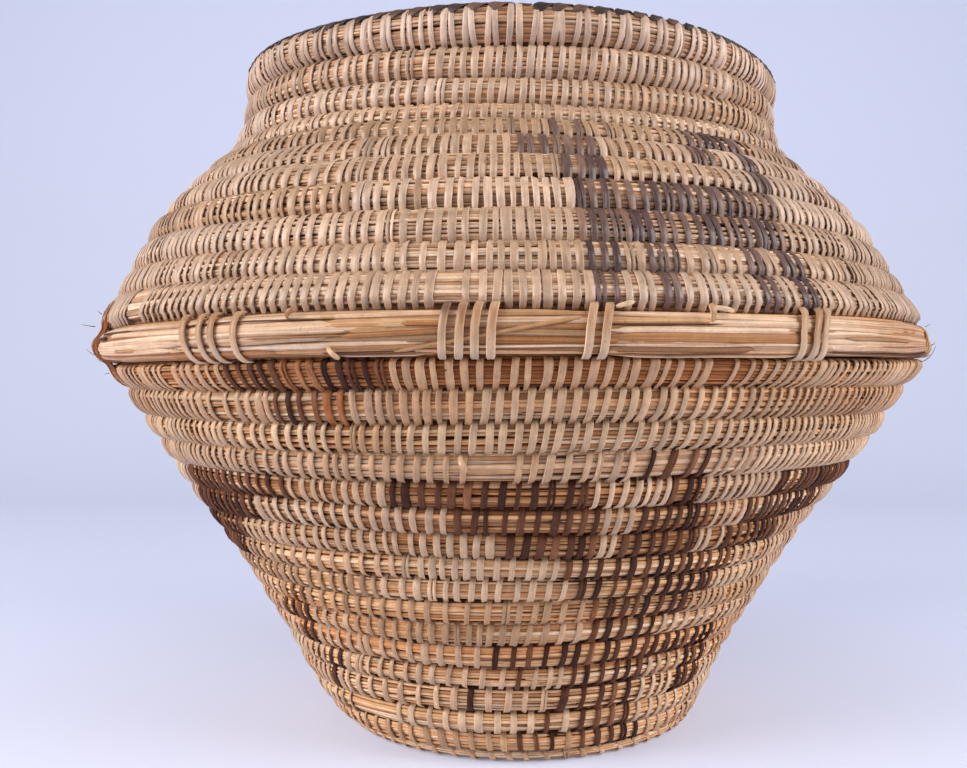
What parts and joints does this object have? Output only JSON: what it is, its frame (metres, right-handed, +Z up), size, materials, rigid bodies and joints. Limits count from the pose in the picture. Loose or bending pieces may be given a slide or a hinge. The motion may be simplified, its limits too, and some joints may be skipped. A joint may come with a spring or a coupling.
{
  "type": "storage basket",
  "caption": "Round coiled storage basket with a flat base, flaring lower wall, bare straw ring at the belly, sloping shoulder, short neck and thick rim.",
  "frame": {"origin": "middle of the flat underside, on the surface that the basket stands on", "axes": "+Z up along the basket's middle line, -Y towards the front, +X to the right seen from the front"},
  "size_m": [0.3518, 0.3538, 0.2746],
  "materials": {
    "coil": "sewn golden grass straw, matte",
    "bare_straw": "pale split straw, low sheen",
    "splint": "flat split stem, low sheen",
    "bark": "rough bark fibre"
  },
  "bodies": {
    "root": {"base_start_button": "coil", "base_coil": "coil", "lower_wall_coil": "coil", "upper_wall_coil": "coil", "rim_coil": "coil", "front_belly_bundle": "bare_straw", "rear_belly_bundle": "bare_straw", "front_belly_tie_01": "splint", "front_belly_tie_02": "splint", "front_belly_tie_03": "splint", "front_belly_tie_04": "splint", "front_belly_tie_05": "splint", "front_belly_tie_06": "splint", "front_belly_tie_07": "splint", "front_belly_tie_08": "splint", "front_belly_tie_09": "splint", "front_belly_tie_10": "splint", "front_belly_tie_11": "splint", "front_belly_tie_12": "splint", "front_belly_tie_13": "splint", "rear_belly_tie_01": "splint", "rear_belly_tie_02": "splint", "rear_belly_tie_03": "splint", "rear_belly_tie_04": "splint", "rear_belly_tie_05": "splint", "rear_belly_tie_06": "splint", "rear_belly_tie_07": "splint", "rear_belly_tie_08": "splint", "rear_belly_tie_09": "splint", "rear_belly_tie_10": "splint", "rear_belly_tie_11": "splint", "rear_belly_tie_12": "splint", "rear_belly_tie_13": "splint", "right_joint_wrap": "bark", "left_joint_strap": "bark"}
  },
  "joints": []
}
